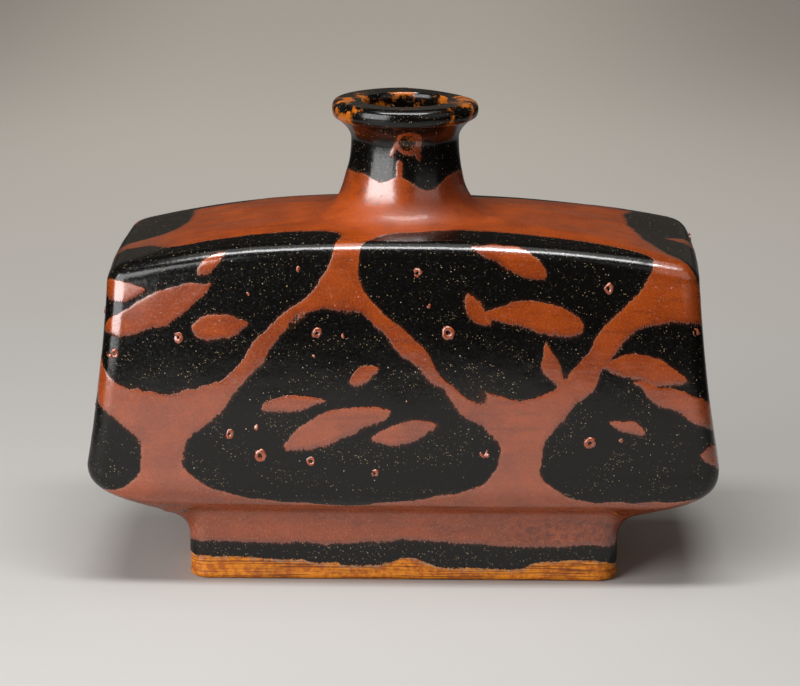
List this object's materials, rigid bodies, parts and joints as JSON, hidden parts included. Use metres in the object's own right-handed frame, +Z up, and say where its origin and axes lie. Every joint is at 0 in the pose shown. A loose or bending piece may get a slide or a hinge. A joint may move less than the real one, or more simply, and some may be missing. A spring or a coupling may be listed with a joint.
{
  "type": "flattened vase",
  "caption": "Flattened press-moulded stoneware vase with broad faces, a crowned shoulder, a short thrown neck with a rolled lip, and a rectangular foot; holds flowers and water.",
  "frame": {"origin": "on the table, under the middle of the foot", "axes": "+X to the right along the broad faces, -Y out of the front face, +Z up through the neck"},
  "size_m": [0.2644, 0.1156, 0.1982],
  "materials": {
    "rust_glaze": "rust iron glaze under black, satin gloss",
    "black_glaze": "glossy black iron glaze",
    "bare_clay": "unglazed fired stoneware"
  },
  "bodies": {
    "root": {"front_half": "rust_glaze", "back_half": "rust_glaze", "seam_coil": "bare_clay", "neck": "black_glaze", "neck_collar": "rust_glaze", "lip": "black_glaze", "foot_front_strip": "rust_glaze", "foot_right_strip": "rust_glaze", "foot_back_strip": "rust_glaze", "foot_left_strip": "rust_glaze", "foot_coil": "rust_glaze"}
  },
  "joints": []
}
